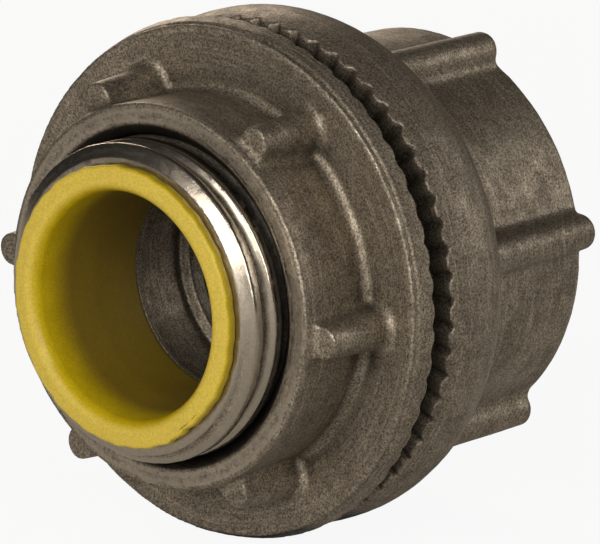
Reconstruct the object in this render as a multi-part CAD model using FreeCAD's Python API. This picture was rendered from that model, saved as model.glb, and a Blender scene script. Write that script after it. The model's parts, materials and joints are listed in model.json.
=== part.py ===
import FreeCAD, Part
import math
import os

# Threaded conduit hub, trade size 1/2, with a toothed locknut, a rubber sealing
# ring and an insulated throat liner.  Millimetres.  The common axis is Y, the
# nipple points to -Y, the conduit enters from +Y, +Z is up and y = 0 is the
# toothed face of the hub flange.
#
# Every shape is drawn with its axis on Z, z measured from the hub flange face
# towards the nipple end, and is turned into place at the very end, so z = -y.

V = FreeCAD.Vector
ORIGIN = V(0, 0, 0)
AXIS = V(0, 0, 1)
SAME = 0.01               # places closer than this are the same place
NEAR = 0.15
LONG = 2.0                # edges shorter than this are never a bar's foot
CLEAR_R = 20.0            # outside everything

# straight locknut thread, 14 turns to the inch, right hand
PITCH = 25.4 / 14
THREAD_LEAD = -0.442      # z of the groove centre at angle 0, less whole turns
NIPPLE_TURNS = 9
NIPPLE_CREST_R = 10.5
NIPPLE_ROOT_R = 9.7
NIPPLE_GROOVE_TOP = 0.53  # half width of the groove at the crest
NIPPLE_GROOVE_FLOOR = 0.07
NUT_TURNS = 7
NUT_CREST_R = 9.85
NUT_ROOT_R = 10.62
NUT_RIDGE_TIP = 0.055     # half width of the ridge at its tip
FLANK = math.tan(math.radians(30))

# nipple
NIPPLE_END = 12.25
NIPPLE_BEVEL_R = 9.65
NIPPLE_BEVEL = 0.5
NIPPLE_FOOT = 0.5         # the thread stops here, a plain neck joins the flange
LINER_SEAT_R = 8.2
LINER_SEAT_Z = 3.45       # the liner's inner end stops here
LINER_STOP_R = 7.15       # at a low ridge of this radius
LINER_STOP_WIDE = 0.5
LINER_STOP_BEVEL = 0.3

# hub flange
RIM_FACE_R = 16.68
RIM_MAX_R = 17.12
RIM_MAX_Z = -3.1
RIM_BACK_R = 15.9
RIM_BACK_Z = -5.95
RIM_FACE_BOW = 0.175      # how far the rim's two stretches bulge from straight
RIM_BACK_BOW = 0.24
RING_GROOVE_IN_R = 11.95
RING_GROOVE_OUT_R = 14.5
RING_GROOVE_Z = -1.55
HUB_TEETH = 62
HUB_NOTCH_AT = -70.35     # degrees from the top, of one notch
HUB_NOTCH_DEPTH = 0.4
HUB_NOTCH_HALF = 0.5
HUB_NOTCH_IN_R = 14.85

# barrel with its female taper pipe thread
BARREL_R = 13.6
BARREL_END_R = 13.4
BARREL_END = -17.25
BARREL_END_ROUND = 0.35
BARREL_FOOT_ROUND = 0.8
BARREL_MOUTH_BEVEL = 0.3
THROAT_R = 7.55
THROAT_STEP_R = 6.8       # a step at the bottom of the throat
THROAT_STEP_Z = -1.15
THROAT_STEP_BEVEL = 0.2
THROAT_END_Z = -2.45
CONDUIT_STOP_R = 7.6
CONDUIT_STOP_Z = -2.95
RELIEF_R = 10.3
RELIEF_Z = -4.75
RELIEF_BEVEL = 1.0
PIPE_MOUTH_Z = -16.05
PIPE_MOUTH_R = 9.22
PIPE_TURNS = 8
PIPE_TAPER = 1 / 32       # radius lost per mm of depth
PIPE_GROOVE_DEPTH = 1.15
PIPE_CREST_HALF = 0.1
ENTRY_R = 10.8
RIB_COUNT = 6
RIB_AT = 37.5
RIB_R = 13.85
RIB_HALF = 1.2
RIB_ROOT_R = 13.8
RIB_ROOT_HALF = 1.35
RIB_END = BARREL_END + 0.15
RIB_END_ROUND = 0.5
RIB_BURIED = 1.2          # how far a rib reaches into the barrel and the flange
RIB_FOOT_ROUND = 0.8

# locknut
COLLAR_R = 12.69
COLLAR_FOOT_R = 12.5
COLLAR_END = 9.44
COLLAR_MOUTH_R = 11.29
COLLAR_ROUND = 0.25
COLLAR_FOOT_ROUND = 0.6
NUT_BACK = 2.06
NUT_MOUTH_BEVEL = 0.85
DISH_ROOT_Z = 3.25
DISH_EDGE_R = 16.45
DISH_EDGE_Z = 3.85
BEAD_R = 16.87            # a fine bead round the rim, then a shallow groove
BEAD_TOP_R = 16.82
BEAD_HIGH = 0.15
BEAD_GROOVE_R = 16.76
BEAD_GROOVE_WIDE = 0.1
BEAD_GROOVE_SLOPE = 0.13
NUT_RIM_R = 16.98
NUT_RIM_BACK_R = 17.2
NUT_RIM_BACK_WIDE = 0.35
NUT_RIM_BACK_BEVEL = 0.12
NUT_TOOTH_Z = 2.08        # plane of the tooth tips
NUT_TEETH = 60
NUT_NOTCH_AT = 4.6
NUT_NOTCH_DEPTH = 0.3
NUT_NOTCH_HALF = 0.8
NUT_NOTCH_IN_R = 15.3
NUT_RECESS_EDGE_R = 14.8  # inside the teeth the back is dished to the locknut's face
NUT_RECESS_R = 13.3
LUG_COUNT = 6
LUG_AT = 25.9
LUG_R = 13.39
LUG_HALF = 1.07
LUG_END = 8.72
LUG_ROOT_R = 13.45
LUG_ROOT_HALF = 1.4
LUG_END_ROUND = 0.12
LUG_BURIED = 0.6          # how far a lug reaches into the collar
LUG_FOOT_ROUND = 0.6

# sealing ring, round section, lying in the groove of the hub flange
RING_R = 13.22
RING_SECTION_R = 1.2

# throat liner
LINER_LIP_R = 9.22
LINER_LIP_EDGE_Z = 12.6
LINER_CROWN_R = 8.35
LINER_CROWN_Z = 13.07
LINER_MOUTH_R = 7.45
LINER_MOUTH_Z = 12.15
LINER_SLEEVE_R = 8.18
LINER_BORE_R = 7.1
LINER_BORE_Z = 7.65       # the mouth tapers down to the plain bore here


def revolved(points):
    """A solid of revolution about the axis from a closed (radius, z) outline.

    A point of four numbers ends an arc: (radius, z) of its middle, then its end.
    """
    edges = []
    here = V(points[0][0], 0, points[0][1])
    for point in points[1:] + points[:1]:
        there = V(point[-2], 0, point[-1])
        if len(point) == 4:
            middle = V(point[0], 0, point[1])
            edges.append(Part.Arc(here, middle, there).toShape())
        else:
            edges.append(Part.makeLine(here, there))
        here = there
    return Part.Face(Part.Wire(edges)).revolve(ORIGIN, AXIS, 360)


def bowed(a, b, bow):
    """The middle of an arc from a to b that stands out by bow on the right-hand side."""
    long = math.dist(a, b)
    return (
        (a[0] + b[0]) / 2 + bow * (b[1] - a[1]) / long,
        (a[1] + b[1]) / 2 - bow * (b[0] - a[0]) / long,
    )


def circles_at(shape, places):
    """The circular edges of a shape at the given (radius, z) pairs."""
    picked = []
    for edge in shape.Edges:
        curve = edge.Curve
        if not isinstance(curve, Part.Circle):
            continue
        for r, z in places:
            if abs(curve.Radius - r) < SAME and abs(curve.Center.z - z) < SAME:
                picked.append(edge)
    return picked


def coil(section, start, turns, radius, cone=0.0):
    """Sweep a closed (radius, offset) section along a right-hand helix."""
    helix = Part.Wire(Part.makeLongHelix(PITCH, turns * PITCH, radius, cone).Edges)
    corners = [V(r, 0, dz) for r, dz in section]
    profile = Part.makePolygon(corners + corners[:1])
    swept = helix.makePipeShell([profile], True, True)
    swept.translate(V(0, 0, start))
    return swept


def clocked(shape, count, at):
    """Copies of a shape drawn on the +X side, evenly round the axis.

    The angle is measured from the top, positive towards -X of the finished part.
    """
    copies = []
    for k in range(count):
        copy = shape.copy()
        copy.rotate(ORIGIN, AXIS, 90 + at + 360.0 * k / count)
        copies.append(copy)
    return copies


def notch(inner, face, depth, half, side):
    """A radial V cutter whose mouth lies on the plane z = face."""
    lift = 0.4
    wide = half * (depth + lift) / depth
    corners = [
        V(inner, -wide, face + side * lift),
        V(inner, wide, face + side * lift),
        V(inner, 0, face - side * depth),
    ]
    triangle = Part.Face(Part.makePolygon(corners + corners[:1]))
    return triangle.extrude(V(CLEAR_R - inner, 0, 0))


def bar_section(r, half, z, inner):
    """A D-shaped outline standing out of a drum, round side outwards."""
    a = V(inner, -half, z)
    b = V(r, -half, z)
    top = V(r + half, 0, z)
    c = V(r, half, z)
    d = V(inner, half, z)
    arc = Part.Arc(b, top, c).toShape()
    return Part.Wire([Part.makeLine(a, b), arc, Part.makeLine(c, d), Part.makeLine(d, a)])


def bar(root, tip, inner):
    """A tapered D-shaped bar; root and tip are (radius, half width, z)."""
    ends = [bar_section(*root, inner), bar_section(*tip, inner)]
    return Part.makeLoft(ends, True, True)


def end_rounded(shape, z, inner, size):
    """Round the edges of a bar's end face, except the one inside the drum."""
    picked = []
    for edge in shape.Edges:
        flat = abs(edge.Vertexes[0].Z - z) < SAME and abs(edge.Vertexes[-1].Z - z) < SAME
        if flat and edge.BoundBox.XMax > inner + NEAR:
            picked.append(edge)
    return shape.makeFillet(size, picked)


def foot_edges(shape, low_r, high_r, low_z, high_z):
    """The long edges along which the bars stand on their drum."""
    picked = []
    for edge in shape.Edges:
        ends = [edge.valueAt(edge.FirstParameter), edge.valueAt(edge.LastParameter)]
        radii = [math.hypot(p.x, p.y) for p in ends]
        heights = sorted(p.z for p in ends)
        on_drum = low_r - NEAR < min(radii) and max(radii) < high_r + NEAR
        inside = low_z - NEAR < heights[0] and heights[1] < high_z + NEAR
        if on_drum and inside and heights[1] - heights[0] > LONG:
            picked.append(edge)
    return picked


def make_nipple():
    tube = revolved([
        (THROAT_R, NIPPLE_FOOT),
        (NIPPLE_CREST_R, NIPPLE_FOOT),
        (NIPPLE_CREST_R, NIPPLE_END - NIPPLE_BEVEL),
        (NIPPLE_BEVEL_R, NIPPLE_END),
        (LINER_SEAT_R, NIPPLE_END),
        (LINER_SEAT_R, LINER_SEAT_Z),
        (LINER_STOP_R, LINER_SEAT_Z),
        (LINER_STOP_R, LINER_SEAT_Z - LINER_STOP_WIDE),
        (THROAT_R, LINER_SEAT_Z - LINER_STOP_WIDE - LINER_STOP_BEVEL),
    ])
    over = 0.3
    slope = (NIPPLE_GROOVE_TOP - NIPPLE_GROOVE_FLOOR) / (NIPPLE_CREST_R - NIPPLE_ROOT_R)
    mouth = NIPPLE_GROOVE_TOP + over * slope
    groove = coil(
        [
            (NIPPLE_ROOT_R, -NIPPLE_GROOVE_FLOOR),
            (NIPPLE_ROOT_R, NIPPLE_GROOVE_FLOOR),
            (NIPPLE_CREST_R + over, mouth),
            (NIPPLE_CREST_R + over, -mouth),
        ],
        THREAD_LEAD - PITCH,
        NIPPLE_TURNS,
        NIPPLE_CREST_R,
    )
    return tube.cut(groove)


def make_hub():
    pipe_inner_z = RELIEF_Z - RELIEF_BEVEL
    pipe_inner_r = PIPE_MOUTH_R - PIPE_TAPER * (pipe_inner_z - PIPE_MOUTH_Z)
    rim_back = (RIM_BACK_R, RIM_BACK_Z)
    rim_max = (RIM_MAX_R, RIM_MAX_Z)
    rim_face = (RIM_FACE_R, 0)
    core = revolved([
        (THROAT_R, NIPPLE_FOOT),
        (THROAT_R, THROAT_STEP_Z),
        (THROAT_STEP_R, THROAT_STEP_Z - THROAT_STEP_BEVEL),
        (THROAT_STEP_R, THROAT_END_Z),
        (CONDUIT_STOP_R, CONDUIT_STOP_Z),
        (RELIEF_R, CONDUIT_STOP_Z),
        (RELIEF_R, RELIEF_Z),
        (pipe_inner_r, pipe_inner_z),
        (PIPE_MOUTH_R, PIPE_MOUTH_Z),
        (ENTRY_R, PIPE_MOUTH_Z),
        (ENTRY_R, BARREL_END),
        (BARREL_END_R, BARREL_END),
        (BARREL_R, RIM_BACK_Z),
        rim_back,
        bowed(rim_back, rim_max, RIM_BACK_BOW) + rim_max,
        bowed(rim_max, rim_face, RIM_FACE_BOW) + rim_face,
        (RING_GROOVE_OUT_R, 0),
        (RING_GROOVE_OUT_R, RING_GROOVE_Z),
        (RING_GROOVE_IN_R, RING_GROOVE_Z),
        (RING_GROOVE_IN_R, 0),
        (NIPPLE_CREST_R, 0),
        (NIPPLE_CREST_R, NIPPLE_FOOT),
    ])
    core = core.makeFillet(BARREL_FOOT_ROUND, circles_at(core, [(BARREL_R, RIM_BACK_Z)]))
    core = core.makeFillet(BARREL_END_ROUND, circles_at(core, [(BARREL_END_R, BARREL_END)]))
    core = core.makeChamfer(BARREL_MOUTH_BEVEL, circles_at(core, [(ENTRY_R, BARREL_END)]))

    over = 0.15
    crest_gap = PITCH / 2 - PIPE_CREST_HALF
    floor = crest_gap - PIPE_GROOVE_DEPTH * FLANK
    mouth = crest_gap + over * FLANK
    run_in = 1.5 * PITCH
    start = PIPE_MOUTH_Z - run_in
    wide_r = PIPE_MOUTH_R + PIPE_TAPER * run_in
    pipe_thread = coil(
        [
            (wide_r - over, -mouth),
            (wide_r - over, mouth),
            (wide_r + PIPE_GROOVE_DEPTH, floor),
            (wide_r + PIPE_GROOVE_DEPTH, -floor),
        ],
        start,
        PIPE_TURNS,
        wide_r,
        -math.degrees(math.atan(PIPE_TAPER)),
    )
    core = core.cut(pipe_thread)

    buried_r = BARREL_R - RIB_BURIED
    buried_z = RIM_BACK_Z + RIB_BURIED
    rib = bar((RIB_ROOT_R, RIB_ROOT_HALF, buried_z), (RIB_R, RIB_HALF, RIB_END), buried_r)
    rib = end_rounded(rib, RIB_END, buried_r, RIB_END_ROUND)
    cutter = notch(HUB_NOTCH_IN_R, 0, HUB_NOTCH_DEPTH, HUB_NOTCH_HALF, 1)
    core = core.fuse(clocked(rib, RIB_COUNT, RIB_AT))
    feet = foot_edges(core, BARREL_END_R, BARREL_R, BARREL_END, buried_z)
    core = core.makeFillet(RIB_FOOT_ROUND, feet)
    core = core.cut(clocked(cutter, HUB_TEETH, HUB_NOTCH_AT))
    return core.fuse(make_nipple()).removeSplitter()


def make_locknut():
    bead_z = DISH_EDGE_Z - BEAD_HIGH
    groove_z = bead_z - BEAD_GROOVE_SLOPE
    body = revolved([
        (NUT_CREST_R, NUT_BACK + NUT_MOUTH_BEVEL),
        (NUT_CREST_R, COLLAR_END - (COLLAR_MOUTH_R - NUT_CREST_R)),
        (COLLAR_MOUTH_R, COLLAR_END),
        (COLLAR_R, COLLAR_END),
        (COLLAR_FOOT_R, DISH_ROOT_Z),
        (DISH_EDGE_R, DISH_EDGE_Z),
        (BEAD_TOP_R, DISH_EDGE_Z),
        (BEAD_R, bead_z),
        (BEAD_GROOVE_R, groove_z),
        (BEAD_GROOVE_R, groove_z - BEAD_GROOVE_WIDE),
        (NUT_RIM_R, groove_z - BEAD_GROOVE_WIDE - BEAD_GROOVE_SLOPE),
        (NUT_RIM_BACK_R, NUT_TOOTH_Z + NUT_RIM_BACK_WIDE),
        (NUT_RIM_BACK_R, NUT_TOOTH_Z + NUT_RIM_BACK_BEVEL),
        (NUT_RIM_BACK_R - NUT_RIM_BACK_BEVEL, NUT_TOOTH_Z),
        (NUT_RECESS_EDGE_R, NUT_TOOTH_Z),
        (NUT_RECESS_R, NUT_BACK),
        (NUT_CREST_R + NUT_MOUTH_BEVEL, NUT_BACK),
    ])
    body = body.makeFillet(COLLAR_FOOT_ROUND, circles_at(body, [(COLLAR_FOOT_R, DISH_ROOT_Z)]))
    body = body.makeFillet(COLLAR_ROUND, circles_at(body, [(COLLAR_R, COLLAR_END)]))

    over = 0.07
    crest_gap = PITCH / 2 - NUT_RIDGE_TIP
    floor = crest_gap - (NUT_ROOT_R - NUT_CREST_R) * FLANK
    mouth = crest_gap + over * FLANK
    groove = coil(
        [
            (NUT_CREST_R - over, -mouth),
            (NUT_CREST_R - over, mouth),
            (NUT_ROOT_R, floor),
            (NUT_ROOT_R, -floor),
        ],
        THREAD_LEAD + PITCH / 2,
        NUT_TURNS,
        NUT_CREST_R,
    )
    buried_r = COLLAR_FOOT_R - LUG_BURIED
    buried_z = DISH_ROOT_Z - LUG_BURIED / 2
    lug = bar((LUG_ROOT_R, LUG_ROOT_HALF, buried_z), (LUG_R, LUG_HALF, LUG_END), buried_r)
    lug = end_rounded(lug, LUG_END, buried_r, LUG_END_ROUND)
    cutter = notch(NUT_NOTCH_IN_R, NUT_TOOTH_Z, NUT_NOTCH_DEPTH, NUT_NOTCH_HALF, -1)
    body = body.fuse(clocked(lug, LUG_COUNT, LUG_AT))
    feet = foot_edges(body, COLLAR_FOOT_R, COLLAR_R, DISH_ROOT_Z, LUG_END)
    body = body.makeFillet(LUG_FOOT_ROUND, feet)
    body = body.cut(clocked(cutter, NUT_TEETH, NUT_NOTCH_AT))
    return body.cut(groove).removeSplitter()


def make_ring():
    centre = V(0, 0, RING_GROOVE_Z + RING_SECTION_R)
    return Part.makeTorus(RING_R, RING_SECTION_R, centre, AXIS)


def quarter_middle(r, z, wide, high):
    """The (radius, z) middle of a quarter round whose centre is at (r, z)."""
    return r + wide * math.sqrt(0.5), z + high * math.sqrt(0.5)


def make_liner():
    crown = (LINER_CROWN_R, LINER_CROWN_Z)
    outside = quarter_middle(
        LINER_CROWN_R, LINER_LIP_EDGE_Z,
        LINER_LIP_R - LINER_CROWN_R, LINER_CROWN_Z - LINER_LIP_EDGE_Z)
    inside = quarter_middle(
        LINER_CROWN_R, LINER_MOUTH_Z,
        LINER_MOUTH_R - LINER_CROWN_R, LINER_CROWN_Z - LINER_MOUTH_Z)
    return revolved([
        (LINER_BORE_R, LINER_SEAT_Z),
        (LINER_SLEEVE_R, LINER_SEAT_Z),
        (LINER_SLEEVE_R, NIPPLE_END),
        (LINER_LIP_R, NIPPLE_END),
        (LINER_LIP_R, LINER_LIP_EDGE_Z),
        outside + crown,
        inside + (LINER_MOUTH_R, LINER_MOUTH_Z),
        (LINER_BORE_R, LINER_BORE_Z),
    ])


os.makedirs("parts", exist_ok=True)

NODES = {
    "hub_body": make_hub,
    "locknut": make_locknut,
    "sealing_ring": make_ring,
    "throat_liner": make_liner,
}

for name, make in NODES.items():
    shape = make()
    shape.rotate(ORIGIN, V(1, 0, 0), 90)
    shape.exportStep("parts/" + name + ".step")
    box = shape.BoundBox
    print(name, shape.ShapeType, len(shape.Solids), "solid", "valid", shape.isValid())
    print("  volume %.1f faces %d" % (shape.Volume, len(shape.Faces)))
    print("  x %.2f %.2f y %.2f %.2f z %.2f %.2f" % (
        box.XMin, box.XMax, box.YMin, box.YMax, box.ZMin, box.ZMax))
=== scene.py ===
import json
import math

import bmesh
import bpy
import numpy as np
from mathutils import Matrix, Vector


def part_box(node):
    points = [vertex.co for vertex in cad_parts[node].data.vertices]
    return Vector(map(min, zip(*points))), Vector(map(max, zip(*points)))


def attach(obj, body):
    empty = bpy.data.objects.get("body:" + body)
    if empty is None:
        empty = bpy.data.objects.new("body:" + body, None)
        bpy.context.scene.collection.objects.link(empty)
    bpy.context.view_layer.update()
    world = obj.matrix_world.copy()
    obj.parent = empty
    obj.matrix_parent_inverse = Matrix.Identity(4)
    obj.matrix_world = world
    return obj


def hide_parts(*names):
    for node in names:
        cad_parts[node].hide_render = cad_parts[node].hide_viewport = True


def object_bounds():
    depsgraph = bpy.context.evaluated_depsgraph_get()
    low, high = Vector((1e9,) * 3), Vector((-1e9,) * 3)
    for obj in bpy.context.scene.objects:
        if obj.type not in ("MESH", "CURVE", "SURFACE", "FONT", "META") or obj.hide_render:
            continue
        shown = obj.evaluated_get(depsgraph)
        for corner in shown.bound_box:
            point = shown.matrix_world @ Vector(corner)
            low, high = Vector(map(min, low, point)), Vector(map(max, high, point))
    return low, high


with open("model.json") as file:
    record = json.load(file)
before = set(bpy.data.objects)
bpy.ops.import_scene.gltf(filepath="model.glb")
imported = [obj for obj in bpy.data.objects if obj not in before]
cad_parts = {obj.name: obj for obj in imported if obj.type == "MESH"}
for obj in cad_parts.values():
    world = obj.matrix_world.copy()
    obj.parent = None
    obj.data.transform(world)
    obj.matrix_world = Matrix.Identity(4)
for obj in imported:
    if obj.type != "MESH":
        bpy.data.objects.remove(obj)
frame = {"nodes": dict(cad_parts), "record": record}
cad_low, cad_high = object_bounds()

# A die-cast zinc conduit hub with its locknut, sealing ring and throat liner.
# Metres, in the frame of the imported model: the axis is Y and the nipple points to -Y.

MM = 0.001
SEED = 11

# castings: the size of their even faces, how close points have to be to be welded, how many rounds
# of smoothing their whole surface and their worn edges get, and how many triangles they may have
VOXEL = 0.125 * MM
WELD = 0.0005 * MM
FAIR_ROUNDS = 5
WORN_ROUNDS = 3
MOST_FACES = 190000

# castings: height in millimetres of the ripples and blisters in the skin, and the blisters' radii
BROAD_RIPPLE = 0.010
FINE_RIPPLE = 0.006
BLISTER_HIGH = 0.05
BLISTER_R = (0.1, 0.17)
BLISTER_COUNT = 9

# throat liner, measured from its lip end
LIP_DEPTH = 0.82 * MM
LIP_LAND_OUT = 0.3 * MM
LIP_LAND_IN = 0.95 * MM
LIP_EDGE_DEPTH = 0.32 * MM
LIP_EDGE_DROP = 0.06 * MM
LIP_CORNER = 0.08 * MM
MOUTH_DEPTH = 1.0 * MM
MOUTH_FLARE = 0.35 * MM
SLEEVE_START = 1.2 * MM

# the liner's gate: how deep the lip's edge is trimmed, and from where to where in degrees from the top
TRIM_DEPTH = 0.2 * MM
GATE_START = 116
GATE_END = 144
STEP_END = 153

# colours of the zinc: its skin, its streaks, where it is worn, the painted shade and dirt in its
# hollows, the cut thread
SKIN_DARK = (0.17, 0.143, 0.109, 1)
SKIN_LIGHT = (0.255, 0.219, 0.17, 1)
STREAK = (0.40, 0.345, 0.27, 1)
WORN = (0.50, 0.445, 0.37, 1)
HOLLOW_SHADE_AND_DIRT = (0.05, 0.042, 0.032, 1)
CUT_THREAD = (0.56, 0.50, 0.42, 1)

# colours of the plastic: two shades of the moulding, its chalky lip with scuffing and painted light on
# its front face, the painted shade deep in the bore
YELLOW_DARK = (0.50, 0.36, 0.004, 1)
YELLOW_LIGHT = (0.58, 0.43, 0.008, 1)
SCUFFED_AND_LIT = (0.64, 0.48, 0.07, 1)
INNER_SHADE = (0.11, 0.068, 0.004, 1)

RUBBER_DARK = (0.008, 0.008, 0.008, 1)
RUBBER_LIGHT = (0.018, 0.017, 0.016, 1)

# the zinc's skin: how big its clouds, blotches and grains are, how near a surface shades another,
# and how dark the painted shade makes the colour in crevices and in the conduit bore
CLOUD = 6 * MM
BLOTCH = 1.2 * MM
GRAIN = 0.14 * MM
SHADE_REACH = 3.5 * MM
CREVICE_SHADE_LEVEL = 0.06
BORE_SHADE_LEVEL = 0.55


# ---------------------------------------------------------------- reading the frame

def node_points(node):
    return points_of(frame["nodes"][node].data)


def radius_of(points):
    return np.hypot(points[:, 0], points[:, 2])


def mount(name):
    return next(m for m in frame["record"]["mounts"] if m["name"] == name)


# ---------------------------------------------------------------- mesh tools

def new_object(name, data):
    piece = bpy.data.objects.new(name, data)
    bpy.context.scene.collection.objects.link(piece)
    return piece


def points_of(mesh):
    co = np.empty(len(mesh.vertices) * 3)
    mesh.vertices.foreach_get("co", co)
    return co.reshape(-1, 3)


def normals_of(mesh):
    no = np.empty(len(mesh.vertices) * 3)
    mesh.vertices.foreach_get("normal", no)
    return no.reshape(-1, 3)


def edges_of(mesh):
    pairs = np.empty(len(mesh.edges) * 2, np.int64)
    mesh.edges.foreach_get("vertices", pairs)
    return pairs.reshape(-1, 2)


def set_points(mesh, points):
    mesh.vertices.foreach_set("co", points.ravel())
    mesh.update()


def store(mesh, name, values):
    attribute = mesh.attributes.new(name, "FLOAT", "POINT")
    attribute.data.foreach_set("value", values.astype(np.float32))


def apply_modifiers(piece):
    depsgraph = bpy.context.evaluated_depsgraph_get()
    mesh = bpy.data.meshes.new_from_object(
        piece.evaluated_get(depsgraph), preserve_all_data_layers=True, depsgraph=depsgraph)
    old = piece.data
    piece.modifiers.clear()
    piece.data = mesh
    bpy.data.meshes.remove(old)


def cad_copy(name, node):
    """A new welded object with the shape of a CAD node."""
    work = bmesh.new()
    work.from_mesh(frame["nodes"][node].data)
    bmesh.ops.remove_doubles(work, verts=work.verts, dist=WELD)
    mesh = bpy.data.meshes.new(name)
    work.to_mesh(mesh)
    work.free()
    return new_object(name, mesh)


def even_mesh(piece, node):
    """Rebuild the mesh from even small faces that still lie on the CAD surface."""
    remesh = piece.modifiers.new("even", "REMESH")
    remesh.mode = "VOXEL"
    remesh.voxel_size = VOXEL
    snap = piece.modifiers.new("snap", "SHRINKWRAP")
    snap.wrap_method = "NEAREST_SURFACEPOINT"
    snap.target = frame["nodes"][node]
    apply_modifiers(piece)


def thin_out(piece, most):
    """Join faces where the surface is plain, so that the piece has at most so many triangles."""
    triangles = sum(len(p.vertices) - 2 for p in piece.data.polygons)
    if triangles > most:
        thin = piece.modifiers.new("thin", "DECIMATE")
        thin.ratio = most / triangles
        apply_modifiers(piece)


def smoothed(points, pairs, rounds, step=0.5):
    """Points moved part way to the middle of their neighbours, again and again."""
    a, b = pairs.T
    count = len(points)
    share = np.bincount(a, minlength=count) + np.bincount(b, minlength=count)
    result = points.copy()
    for _ in range(rounds):
        for axis in range(3):
            value = result[:, axis]
            total = np.bincount(a, value[b], count) + np.bincount(b, value[a], count)
            result[:, axis] = value + step * (total / share - value)
    return result


def faired(points, pairs, rounds):
    """Smooth away the steps between faces without making thin parts thinner."""
    for _ in range(rounds):
        points = smoothed(points, pairs, 1, 0.5)
        points = smoothed(points, pairs, 1, -0.53)
    return points


def waves(points, size, seed):
    """Smooth random field, about -1 to 1, whose bumps are about size across."""
    rng = np.random.default_rng(seed)
    count = 24
    direction = rng.normal(size=(count, 3))
    direction /= np.linalg.norm(direction, axis=1)[:, None]
    turns = direction * (2 * math.pi / size * rng.uniform(0.6, 1.5, count))[:, None]
    phase = rng.uniform(0, 2 * math.pi, count)
    field = np.zeros(len(points))
    for turn, start in zip(turns, phase):
        field += np.cos(points @ turn + start)
    return field / math.sqrt(count)


def blisters(points, low, high, seed):
    """Small domes at random places on the skin between two corners."""
    rng = np.random.default_rng(seed)
    lift = np.zeros(len(points))
    inside = np.flatnonzero(np.all((points > low) & (points < high), axis=1))
    for place in rng.choice(inside, BLISTER_COUNT):
        gap = np.linalg.norm(points - points[place], axis=1)
        lift += np.exp(-(gap / (rng.uniform(*BLISTER_R) * MM)) ** 2)
    return lift


def cast_surface(piece, seed):
    """Round and wear the edges, ripple the skin, and store what the material needs.

    proud is how far a point stands above its close surroundings and stand above its wider ones,
    both in millimetres; cut is 1 on the end of the nipple that sticks out of the locknut.
    """
    mesh = piece.data
    pairs = edges_of(mesh)
    flat = points_of(mesh)
    fair = faired(flat, pairs, FAIR_ROUNDS)
    worn = smoothed(fair, pairs, WORN_ROUNDS)
    share = np.clip(waves(flat, 2.6 * MM, seed) * 0.5 + 0.5, 0, 1)[:, None]
    points = fair * (1 - share) + worn * share
    set_points(mesh, points)
    normals = normals_of(mesh)

    edge = smoothed(fair, pairs, 4)
    broad = smoothed(edge, pairs, 30)
    proud = np.einsum("ij,ij->i", fair - edge, normals) / MM
    stand = np.einsum("ij,ij->i", edge - broad, normals) / MM
    lift = BROAD_RIPPLE * waves(points, 4.5 * MM, seed + 1)
    lift += FINE_RIPPLE * waves(points, 1.0 * MM, seed + 2)
    lift += BLISTER_HIGH * blisters(points, *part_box("locknut"), seed + 3)
    set_points(mesh, points + normals * (lift * MM)[:, None])
    store(mesh, "proud", proud)
    store(mesh, "stand", stand)
    store(mesh, "cut", (points[:, 1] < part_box("locknut")[0].y).astype(float))


def shade_smooth(mesh):
    mesh.polygons.foreach_set("use_smooth", np.ones(len(mesh.polygons), bool))
    mesh.update()


# ---------------------------------------------------------------- materials

class Graph:
    """A material's node tree, built one call at a time."""

    def __init__(self, name):
        self.material = bpy.data.materials.new(name)
        self.material.use_nodes = True
        self.tree = self.material.node_tree
        self.shader = self.tree.nodes["Principled BSDF"]

    def put(self, node, name, value):
        socket = node.inputs[name]
        if isinstance(value, bpy.types.NodeSocket):
            self.tree.links.new(value, socket)
        else:
            socket.default_value = value

    def add(self, kind, values=None, **settings):
        node = self.tree.nodes.new("ShaderNode" + kind)
        for name, value in settings.items():
            setattr(node, name, value)
        for name, value in (values or {}).items():
            self.put(node, name, value)
        return node

    def math(self, operation, a, b=0.0):
        return self.add("Math", {0: a, 1: b}, operation=operation).outputs[0]

    def noise(self, where, size, detail=3.0, rough=0.55):
        """Noise from 0 to 1 whose features are about size across."""
        values = {"Vector": where, "Scale": 1 / size, "Detail": detail, "Roughness": rough}
        return self.add("TexNoise", values).outputs["Fac"]

    def ramp(self, value, low, high):
        """0 below low, 1 above high and smooth between."""
        values = {"Value": value, "From Min": low, "From Max": high}
        return self.add("MapRange", values, interpolation_type="SMOOTHSTEP").outputs["Result"]

    def blend(self, share, a, b):
        node = self.add("Mix", None, data_type="RGBA")
        first, second = [i for i, s in enumerate(node.inputs) if s.type == "RGBA"]
        self.put(node, 0, share)
        self.put(node, first, a)
        self.put(node, second, b)
        return next(s for s in node.outputs if s.type == "RGBA")

    def tinted(self, colour, level):
        """A colour made lighter or darker by a number."""
        return self.add("VectorMath", {0: colour, 1: level}, operation="MULTIPLY").outputs[0]

    def between(self, share, a, b):
        """A number that goes from a to b as share goes from 0 to 1."""
        values = {"Value": share, "To Min": a, "To Max": b}
        return self.add("MapRange", values).outputs["Result"]

    def attribute(self, name):
        return self.add("Attribute", attribute_name=name).outputs["Fac"]

    def finish(self, **inputs):
        for name, value in inputs.items():
            self.put(self.shader, name.replace("_", " "), value)
        return self.material


def round_the_axis(g, where):
    """The point seen as distance from the axis and along it, and its direction round it."""
    x, y, z = g.add("SeparateXYZ", {"Vector": where}).outputs
    radius = g.math("SQRT", g.math("ADD", g.math("MULTIPLY", x, x), g.math("MULTIPLY", z, z)))
    return radius, y, g.math("DIVIDE", x, radius), g.math("DIVIDE", z, radius)


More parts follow.
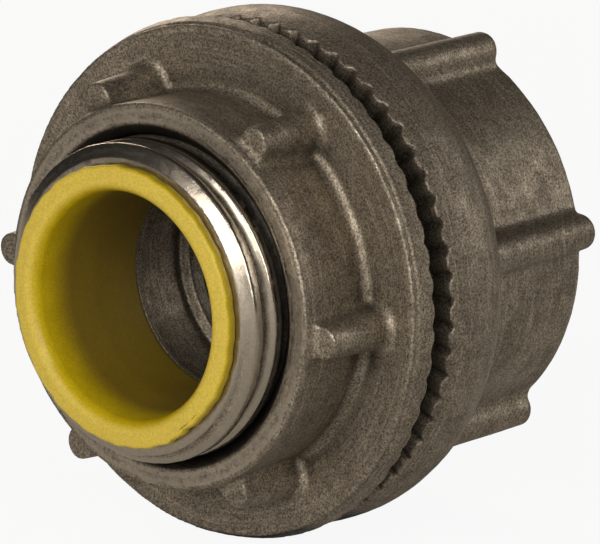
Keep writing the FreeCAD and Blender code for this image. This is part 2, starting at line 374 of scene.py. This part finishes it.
def zinc_material():
    """Grey-brown casting: streaked and speckled skin, bright worn edges, painted shade and dirt in
    hollows, painted shade in crevices and the bore.
    """
    g = Graph("cast_zinc")
    where = g.add("TexCoord").outputs["Object"]
    radius, along, sine, cosine = round_the_axis(g, where)
    across = g.math("MULTIPLY", g.math("ADD", radius, g.math("MULTIPLY", along, 0.8)), 22 / MM)
    drawn = g.add("CombineXYZ", {"X": across, "Y": g.math("MULTIPLY", sine, 14.0),
                                 "Z": g.math("MULTIPLY", cosine, 14.0)}).outputs[0]
    streaks = g.add("TexNoise", {"Vector": drawn, "Scale": 0.2, "Detail": 3.0}).outputs["Fac"]

    cloud = g.noise(where, CLOUD)
    blotch = g.noise(where, BLOTCH, 5.0, 0.6)
    grain = g.noise(where, GRAIN, 2.0, 0.8)
    proud = g.attribute("proud")
    stand = g.attribute("stand")
    cut = g.attribute("cut")

    patch = g.math("ADD", g.math("MULTIPLY", cloud, 0.4), g.math("MULTIPLY", blotch, 0.6))
    skin = g.blend(g.ramp(patch, 0.36, 0.64), SKIN_DARK, SKIN_LIGHT)
    skin = g.blend(g.math("MULTIPLY", g.ramp(streaks, 0.5, 0.7), 0.42), skin, STREAK)
    speck = g.between(g.ramp(grain, 0.3, 0.7), 0.38, 1.75)
    skin = g.tinted(skin, speck)

    ragged = g.math("ADD", proud, g.math("MULTIPLY", g.math("SUBTRACT", blotch, 0.5), 0.10))
    ragged = g.math("ADD", ragged, g.math("MULTIPLY", g.math("SUBTRACT", grain, 0.5), 0.05))
    wear = g.ramp(ragged, 0.036, 0.07)
    # painted shade and dirt: the colour goes nearly black in hollows and creases, where shade falls
    hollow_shade_and_dirt = g.math("ADD", g.math("MULTIPLY", proud, -1.0), g.math("MULTIPLY", stand, -0.25))
    hollow_shade_and_dirt = g.ramp(hollow_shade_and_dirt, 0.06, 0.17)
    colour = g.blend(hollow_shade_and_dirt, skin, HOLLOW_SHADE_AND_DIRT)
    # painted shade: the colour is darkened where nearby surfaces shut out the light, as in the gap
    # between the flanges
    shade = g.add("AmbientOcclusion", {"Distance": SHADE_REACH}, samples=8).outputs["AO"]
    painted_shade = g.ramp(shade, 0.26, 0.66)
    colour = g.tinted(colour, g.between(painted_shade, CREVICE_SHADE_LEVEL, 1.0))
    # painted shade: the colour is darkened inside the conduit bore past the liner's seat
    entry_r = mount("conduit_entry")["dims"]["r_mm"] * MM
    past_seat = g.ramp(along, 0.0, 1 * MM)
    within = g.ramp(radius, entry_r + 1.2 * MM, entry_r + 0.2 * MM)
    bore = g.math("MULTIPLY", past_seat, within)
    colour = g.tinted(colour, g.between(bore, 1.0, BORE_SHADE_LEVEL))
    colour = g.blend(g.math("MULTIPLY", wear, painted_shade), colour, WORN)

    bright = g.math("MULTIPLY", cut, g.ramp(stand, -0.04, 0.03))
    colour = g.blend(g.math("MULTIPLY", bright, 0.7), colour, CUT_THREAD)

    shine = g.math("MAXIMUM", wear, bright)
    rough = g.between(g.ramp(patch, 0.35, 0.65), 0.60, 0.46)
    rough = g.add("Mix", {0: shine, 2: rough, 3: 0.27}, data_type="FLOAT").outputs[0]
    metallic = g.between(shine, 0.75, 1.0)
    height = g.math("ADD", g.math("MULTIPLY", grain, 0.5), g.math("MULTIPLY", blotch, 1.0))
    bump = g.add("Bump", {"Height": height, "Strength": 0.35, "Distance": 0.03 * MM})
    return g.finish(Base_Color=colour, Roughness=rough, Metallic=metallic,
                    Normal=bump.outputs["Normal"])


def plastic_material():
    """Yellow moulding: a chalky lip with scuffing and painted light where it faces the front, and
    painted shade further into the bore.
    """
    g = Graph("yellow_plastic")
    place = g.add("TexCoord")
    where = place.outputs["Object"]
    facing = g.add("SeparateXYZ", {"Vector": place.outputs["Normal"]}).outputs["Y"]
    along = g.add("SeparateXYZ", {"Vector": where}).outputs["Y"]
    lip_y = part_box("throat_liner")[0].y
    cloud = g.noise(where, 3 * MM)
    grain = g.noise(where, 0.13 * MM, 2.0, 0.7)
    colour = g.blend(g.ramp(cloud, 0.35, 0.65), YELLOW_DARK, YELLOW_LIGHT)
    # painted light and scuffing: faces turned to the front are paler
    scuffed_and_lit = g.ramp(g.math("MULTIPLY", facing, -1.0), 0.55, 0.98)
    colour = g.blend(g.math("MULTIPLY", scuffed_and_lit, 0.85), colour, SCUFFED_AND_LIT)
    # painted shade: the colour goes darker further into the bore
    inner_shade = g.ramp(along, lip_y + 0.9 * MM, lip_y + 3.6 * MM)
    colour = g.blend(g.math("MULTIPLY", inner_shade, 0.88), colour, INNER_SHADE)
    colour = g.tinted(colour, g.between(g.ramp(grain, 0.3, 0.7), 0.87, 1.13))
    rough = g.between(g.math("MAXIMUM", scuffed_and_lit, inner_shade), 0.34, 0.6)
    bump = g.add("Bump", {"Height": grain, "Strength": 0.15, "Distance": 0.02 * MM})
    return g.finish(Base_Color=colour, Roughness=rough, Normal=bump.outputs["Normal"])


def rubber_material():
    """Dull black rubber with a fine grain."""
    g = Graph("black_rubber")
    where = g.add("TexCoord").outputs["Object"]
    grain = g.noise(where, 0.2 * MM, 3.0)
    cloud = g.noise(where, 2.5 * MM)
    colour = g.blend(cloud, RUBBER_DARK, RUBBER_LIGHT)
    bump = g.add("Bump", {"Height": grain, "Strength": 0.3, "Distance": 0.02 * MM})
    return g.finish(Base_Color=colour, Roughness=g.between(grain, 0.7, 0.9),
                    Specular_IOR_Level=0.15, Normal=bump.outputs["Normal"])


# ---------------------------------------------------------------- pieces

def dress(piece, node, body, material):
    shade_smooth(piece.data)
    piece.data.materials.clear()
    piece.data.materials.append(material)
    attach(piece, body)
    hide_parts(node)


def make_casting(name, node, body, material, seed):
    piece = cad_copy(name, node)
    even_mesh(piece, node)
    cast_surface(piece, seed)
    thin_out(piece, MOST_FACES)
    dress(piece, node, body, material)


def lathe(name, outline, turns):
    """A closed outline of (radius, y) points turned about the Y axis."""
    mesh = bpy.data.meshes.new(name)
    rows = len(outline)
    points = []
    for k in range(turns):
        angle = 2 * math.pi * k / turns
        points += [(r * math.sin(angle), y, r * math.cos(angle)) for r, y in outline]
    faces = []
    for k in range(turns):
        here, there = k * rows, (k + 1) % turns * rows
        for i in range(rows):
            j = (i + 1) % rows
            faces.append((here + i, here + j, there + j, there + i))
    mesh.from_pydata(points, [], faces)
    mesh.update()
    return new_object(name, mesh)


def arc(centre, wide, high, start, end, steps):
    """Points of part of an ellipse, angles in degrees from the first axis."""
    angles = np.radians(np.linspace(start, end, steps))
    return [(centre[0] + wide * math.cos(a), centre[1] + high * math.sin(a)) for a in angles]


def line(a, b, steps):
    return [tuple(np.array(a) + (np.array(b) - a) * t) for t in np.linspace(0, 1, steps)]


def cut_back(angle):
    """How far the lip's edge is trimmed back beside the moulding's gate; angle in degrees."""
    long_cut = np.clip((angle - GATE_START) / (GATE_END - GATE_START), 0, 1) * (angle < GATE_END)
    short_cut = 0.45 * ((angle >= GATE_END) & (angle < STEP_END))
    rough_edge = 0.12 * (np.sin(np.radians(angle) * 23) + np.sin(np.radians(angle) * 41))
    return (long_cut + short_cut + rough_edge) * TRIM_DEPTH


def make_liner(material):
    """The lip's rounded edge and flat land, the flared mouth, and the bore that widens inwards."""
    low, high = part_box("throat_liner")
    points = node_points("throat_liner")
    lip_r = high.x
    lip_back = low.y + LIP_DEPTH
    sleeve_r = radius_of(points)[points[:, 1] > low.y + SLEEVE_START].max()
    bore_r = mount("wire_throat")["dims"]["r_mm"] * MM
    bore_y = mount("wire_throat")["pos_m"][1] - mount("wire_throat")["dims"]["length_mm"] / 2 * MM
    land_out_r = lip_r - LIP_LAND_OUT
    land_in_r = lip_r - LIP_LAND_IN
    mouth_r = bore_r + MOUTH_FLARE
    edge_y = low.y + LIP_EDGE_DEPTH
    mouth_y = low.y + MOUTH_DEPTH
    outline = line((sleeve_r, high.y), (sleeve_r, lip_back), 30)
    outline += line((sleeve_r + 0.01 * MM, lip_back), (lip_r - LIP_CORNER, lip_back), 4)
    outline += [(lip_r, lip_back - LIP_CORNER)]
    outline += arc((land_out_r, edge_y), LIP_LAND_OUT, LIP_EDGE_DEPTH - LIP_EDGE_DROP, 0, -85, 9)
    outline += line((land_out_r - 0.1 * MM, low.y + 0.05 * MM), (land_in_r, low.y), 6)
    outline += arc((land_in_r, mouth_y), land_in_r - mouth_r, mouth_y - low.y, -97, -180, 14)
    outline += line((mouth_r - 0.01 * MM, mouth_y + 0.1 * MM), (bore_r, bore_y), 14)
    outline += line((bore_r, bore_y + 0.2 * MM), (bore_r, high.y - 0.1 * MM), 16)
    outline += [(bore_r + 0.1 * MM, high.y)]
    piece = lathe("liner_moulding", outline, 400)
    trim_lip(piece.data, land_out_r)
    dress(piece, "throat_liner", "hub", material)


def trim_lip(mesh, land_r):
    """Make the outer edge of the lip slightly uneven, with a step at the gate."""
    points = points_of(mesh)
    radius = radius_of(points)
    angle = np.degrees(np.arctan2(points[:, 0], points[:, 2])) % 360
    new_radius = np.where(radius > land_r, radius - cut_back(angle), radius)
    points[:, 0] *= new_radius / radius
    points[:, 2] *= new_radius / radius
    set_points(mesh, points)


def make_seal(material):
    low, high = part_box("sealing_ring")
    section = (high.y - low.y) / 2
    centre = (high.x - section, (low.y + high.y) / 2)
    piece = lathe("seal_moulding", arc(centre, section, section, 0, 350, 36), 300)
    dress(piece, "sealing_ring", "ring", material)


zinc = zinc_material()
make_casting("hub_casting", "hub_body", "hub", zinc, SEED)
make_casting("locknut_casting", "locknut", "locknut", zinc, SEED + 10)
make_liner(plastic_material())
make_seal(rubber_material())

# ---------------------------------------------------------------- stage

middle = (cad_low + cad_high) / 2

# camera: the direction and distance it looks from, and how far its aim is from the part's middle
AZIMUTH = math.radians(40.9)
ELEVATION = math.radians(13.6)
DISTANCE = 521.6 * MM
AIM_RIGHT = 1.63 * MM
AIM_UP = -0.405 * MM

# lamps: their two colours, how far they are from the part and how wide they are
WARM = (1, 0.95, 0.88)
TAN = (1, 0.87, 0.72)
LAMP_REACH = 0.4
LAMP_WIDTH = 0.22

# surroundings: half the floor's width in metres, how much of it glows for the camera, how bright the
# camera sees them and how bright the part sees them
FLOOR_HALF = 12
FLOOR_GLOW_SHARE = 0.93
BACKDROP = 0.99
FILL = 0.03

back = Vector((
    math.sin(AZIMUTH) * math.cos(ELEVATION),
    -math.cos(AZIMUTH) * math.cos(ELEVATION),
    math.sin(ELEVATION),
))
right = Vector((math.cos(AZIMUTH), math.sin(AZIMUTH), 0))
up = back.cross(right)


def make_camera():
    data = bpy.data.cameras.new("camera")
    data.lens = 480
    data.sensor_width = 36
    data.clip_start = 0.01
    data.clip_end = 30
    camera = new_object("camera", data)
    camera.location = middle + right * AIM_RIGHT + up * AIM_UP + back * DISTANCE
    camera.rotation_mode = "QUATERNION"
    camera.rotation_quaternion = (-back).to_track_quat("-Z", "Y")
    bpy.context.scene.camera = camera


def make_lamp(name, direction, watts, colour):
    data = bpy.data.lights.new(name, "AREA")
    data.shape = "DISK"
    data.size = LAMP_WIDTH
    data.energy = watts
    data.color = colour
    lamp = new_object(name, data)
    aim = Vector(direction).normalized()
    lamp.location = middle + aim * LAMP_REACH
    lamp.rotation_mode = "QUATERNION"
    lamp.rotation_quaternion = aim.to_track_quat("Z", "Y")


def make_floor():
    """A plain pale floor that the camera sees almost as bright as the backdrop."""
    work = bmesh.new()
    bmesh.ops.create_grid(work, x_segments=2, y_segments=2, size=FLOOR_HALF)
    mesh = bpy.data.meshes.new("floor")
    work.to_mesh(mesh)
    work.free()
    floor = new_object("floor", mesh)
    floor.location = (middle.x, middle.y, cad_low.z)
    g = Graph("pale_floor")
    g.finish(Base_Color=(0.8, 0.79, 0.77, 1), Roughness=0.9)
    seen = g.add("LightPath").outputs["Is Camera Ray"]
    glow = g.add("Emission", {"Color": (1, 1, 1, 1), "Strength": BACKDROP}).outputs[0]
    share = g.math("MULTIPLY", seen, FLOOR_GLOW_SHARE)
    mixed = g.add("MixShader", {0: share, 1: g.shader.outputs[0], 2: glow}).outputs[0]
    output = next(n for n in g.tree.nodes if n.type == "OUTPUT_MATERIAL")
    g.tree.links.new(mixed, output.inputs["Surface"])
    mesh.materials.append(g.material)


def make_world():
    """A bright backdrop for the camera that gives the part only a little fill light."""
    world = bpy.data.worlds.new("studio")
    bpy.context.scene.world = world
    world.use_nodes = True
    tree = world.node_tree
    path = tree.nodes.new("ShaderNodeLightPath")
    level = tree.nodes.new("ShaderNodeMapRange")
    level.inputs["To Min"].default_value = FILL
    level.inputs["To Max"].default_value = BACKDROP
    tree.links.new(path.outputs["Is Camera Ray"], level.inputs["Value"])
    tree.links.new(level.outputs["Result"], tree.nodes["Background"].inputs["Strength"])
    tree.nodes["Background"].inputs["Color"].default_value = (1, 1, 1, 1)


make_camera()
make_lamp("front", (0.1, -1.0, 0.35), 0.75, WARM)
make_lamp("front_right", (0.8, -0.8, 0.5), 0.62, WARM)
make_lamp("back_left", (-0.9, 0.6, 0.5), 0.5, TAN)
make_lamp("back_right", (0.8, 0.9, 0.4), 0.3, WARM)
make_floor()
make_world()
bpy.context.scene.view_settings.view_transform = "Standard"
